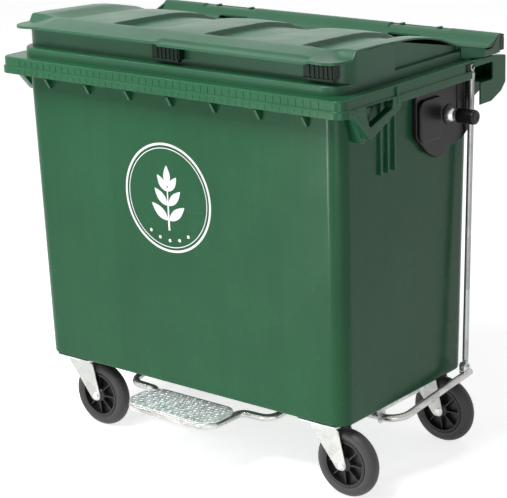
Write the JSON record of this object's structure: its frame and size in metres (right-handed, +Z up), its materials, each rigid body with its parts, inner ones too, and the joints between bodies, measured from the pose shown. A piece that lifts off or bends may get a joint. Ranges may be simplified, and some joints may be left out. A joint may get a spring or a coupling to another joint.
{
  "type": "wheeled waste container",
  "caption": "Large wheeled waste container with a domed flap lid, side trunnions, rear lift rods and a front foot pedal, on swivel castors.",
  "frame": {"origin": "the middle of the whole footprint, on the ground under the wheels", "axes": "+X to the right seen from the front, -Y to the front where the pedal is, +Z up"},
  "size_m": [1.37, 0.831, 1.268],
  "materials": {
    "tub_plastic": "deep green moulded polyethylene, satin gloss with a faint stipple",
    "lid_plastic": "green moulded polyethylene, a little glossier than the tub",
    "dark_plastic": "near-black moulded plastic",
    "tyre_rubber": "black solid rubber",
    "galvanised_steel": "bright zinc-plated steel",
    "bright_steel": "plain bright steel"
  },
  "bodies": {
    "container": {"body_tub": "tub_plastic", "hinge_pin_right": "dark_plastic", "hinge_pin_left": "dark_plastic", "trunnion_plate_right": "dark_plastic", "trunnion_plate_left": "dark_plastic", "trunnion_pin_right": "bright_steel", "trunnion_pin_left": "bright_steel", "trunnion_sleeve_right": "dark_plastic", "trunnion_sleeve_left": "dark_plastic", "trunnion_nut_right": "galvanised_steel", "trunnion_nut_left": "galvanised_steel", "pivot_bearing_right": "dark_plastic", "pivot_bearing_left": "dark_plastic", "pivot_rail_right": "galvanised_steel", "pivot_rail_left": "galvanised_steel", "castor_top_plate_front_right": "galvanised_steel", "castor_top_plate_front_left": "galvanised_steel", "castor_top_plate_rear_right": "galvanised_steel", "castor_top_plate_rear_left": "galvanised_steel", "castor_kingpin_front_right": "bright_steel", "castor_kingpin_front_left": "bright_steel", "castor_kingpin_rear_right": "bright_steel", "castor_kingpin_rear_left": "bright_steel", "castor_studs_front_right": "galvanised_steel", "castor_studs_front_left": "galvanised_steel", "castor_studs_rear_right": "galvanised_steel", "castor_studs_rear_left": "galvanised_steel"},
    "lid": {"lid": "lid_plastic", "lid_pin_right": "galvanised_steel", "lid_pin_left": "galvanised_steel"},
    "pedal": {"pedal_cross_tube": "galvanised_steel", "pedal_loop": "galvanised_steel", "pedal_plate": "galvanised_steel", "rod_clevis_right": "galvanised_steel", "rod_clevis_left": "galvanised_steel"},
    "rod_right": {"lift_rod_right": "galvanised_steel"},
    "rod_left": {"lift_rod_left": "galvanised_steel"},
    "fork_front_right": {"castor_fork_front_right": "galvanised_steel", "castor_axle_front_right": "bright_steel"},
    "wheel_front_right": {"castor_tyre_front_right": "tyre_rubber", "castor_hub_front_right": "dark_plastic"},
    "fork_front_left": {"castor_fork_front_left": "galvanised_steel", "castor_axle_front_left": "bright_steel"},
    "wheel_front_left": {"castor_tyre_front_left": "tyre_rubber", "castor_hub_front_left": "dark_plastic"},
    "fork_rear_right": {"castor_fork_rear_right": "galvanised_steel", "castor_axle_rear_right": "bright_steel"},
    "wheel_rear_right": {"castor_tyre_rear_right": "tyre_rubber", "castor_hub_rear_right": "dark_plastic"},
    "fork_rear_left": {"castor_fork_rear_left": "galvanised_steel", "castor_axle_rear_left": "bright_steel"},
    "wheel_rear_left": {"castor_tyre_rear_left": "tyre_rubber", "castor_hub_rear_left": "dark_plastic"}
  },
  "joints": [
    {"name": "lid_hinge", "type": "hinge", "parent": "container", "child": "lid", "pos_m": [0, 0.3835, 1.175], "axis": [-1, 0, 0], "range_deg": [0, 70]},
    {"name": "pedal_pivot", "type": "hinge", "parent": "container", "child": "pedal", "pos_m": [0, -0.1035, 0.188], "axis": [1, 0, 0], "range_deg": [0, 25.21]},
    {"name": "rod_right_pivot", "type": "hinge", "parent": "pedal", "child": "rod_right", "pos_m": [0.606, 0.2385, 0.24834], "axis": [-1, 0, 0], "range_deg": [0, 31.08]},
    {"name": "rod_left_pivot", "type": "hinge", "parent": "pedal", "child": "rod_left", "pos_m": [-0.606, 0.2385, 0.24834], "axis": [-1, 0, 0], "range_deg": [0, 31.08]},
    {"name": "castor_front_right_swivel", "type": "hinge", "parent": "container", "child": "fork_front_right", "pos_m": [0.469, -0.2495, 0.2], "axis": [0, 0, 1], "continuous": true},
    {"name": "wheel_front_right_spin", "type": "hinge", "parent": "fork_front_right", "child": "wheel_front_right", "pos_m": [0.536, -0.2495, 0.1], "axis": [0, 1, 0], "continuous": true},
    {"name": "castor_front_left_swivel", "type": "hinge", "parent": "container", "child": "fork_front_left", "pos_m": [-0.469, -0.2495, 0.2], "axis": [0, 0, 1], "continuous": true},
    {"name": "wheel_front_left_spin", "type": "hinge", "parent": "fork_front_left", "child": "wheel_front_left", "pos_m": [-0.402, -0.2495, 0.1], "axis": [0, 1, 0], "continuous": true},
    {"name": "castor_rear_right_swivel", "type": "hinge", "parent": "container", "child": "fork_rear_right", "pos_m": [0.469, 0.2335, 0.2], "axis": [0, 0, 1], "continuous": true},
    {"name": "wheel_rear_right_spin", "type": "hinge", "parent": "fork_rear_right", "child": "wheel_rear_right", "pos_m": [0.536, 0.2335, 0.1], "axis": [0, 1, 0], "continuous": true},
    {"name": "castor_rear_left_swivel", "type": "hinge", "parent": "container", "child": "fork_rear_left", "pos_m": [-0.469, 0.2335, 0.2], "axis": [0, 0, 1], "continuous": true},
    {"name": "wheel_rear_left_spin", "type": "hinge", "parent": "fork_rear_left", "child": "wheel_rear_left", "pos_m": [-0.402, 0.2335, 0.1], "axis": [0, 1, 0], "continuous": true}
  ],
  "couplings": [
    {"joint": "pedal_pivot", "follows": "lid_hinge", "ratio": 0.36001},
    {"joint": "rod_right_pivot", "follows": "lid_hinge", "ratio": 0.44388},
    {"joint": "rod_left_pivot", "follows": "lid_hinge", "ratio": 0.44388}
  ]
}
